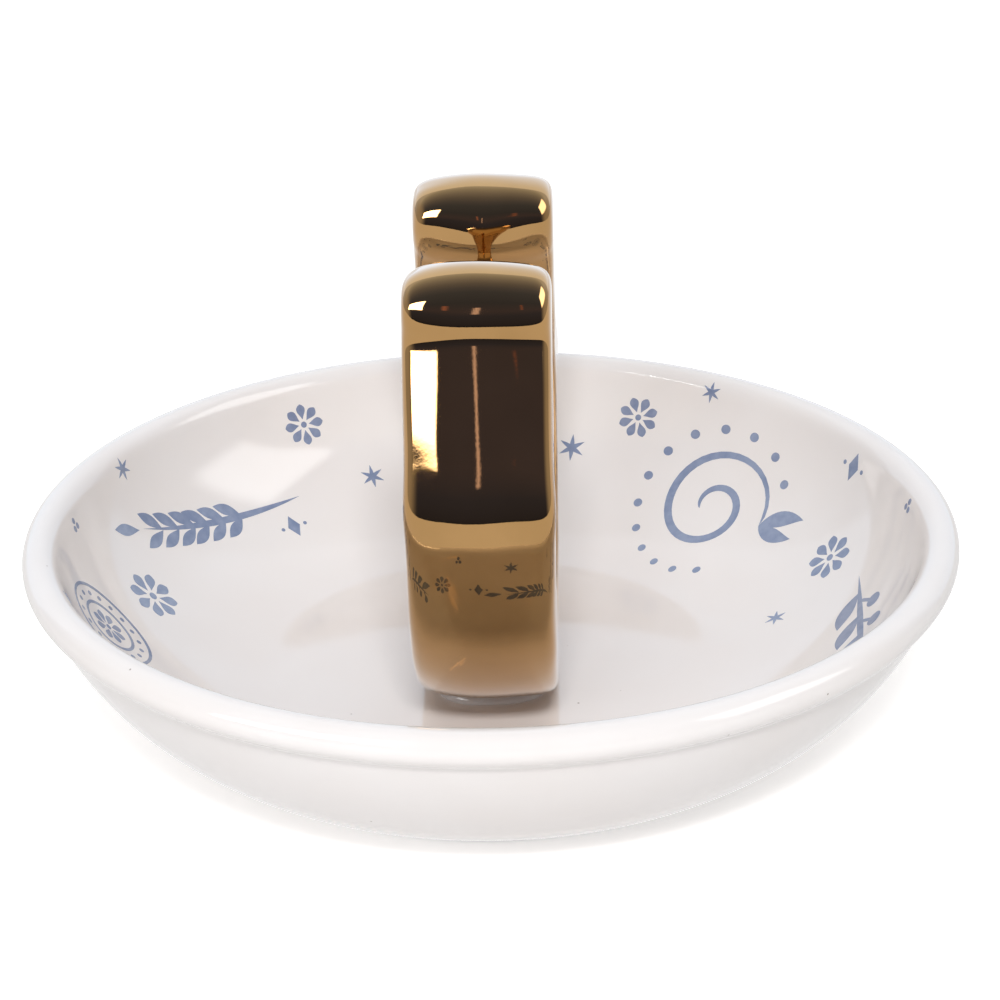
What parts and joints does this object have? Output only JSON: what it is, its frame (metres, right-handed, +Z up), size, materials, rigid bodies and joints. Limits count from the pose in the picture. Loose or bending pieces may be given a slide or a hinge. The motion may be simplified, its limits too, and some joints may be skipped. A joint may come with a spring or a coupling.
{
  "type": "ring dish",
  "caption": "Shallow round ceramic dish with an upright horseshoe in its centre: rings go over the horseshoe's arms, and small jewellery lies in the dish.",
  "frame": {"origin": "on the dish's axis, at the surface that the foot ring stands on", "axes": "+Z up, the horseshoe in the YZ plane with its open end up, +X across the horseshoe's thickness"},
  "size_m": [0.102, 0.102, 0.0571],
  "materials": {
    "white_glaze": "gloss glaze over a warm white body",
    "gold_lustre": "bright gold lustre over glazed ceramic",
    "clear_adhesive": "set clear adhesive, glossy and slightly grey",
    "blue_print": "soft cobalt blue print under the gloss glaze"
  },
  "bodies": {
    "root": {"dish": "white_glaze", "horseshoe": "gold_lustre", "adhesive_bead": "clear_adhesive"}
  },
  "joints": []
}
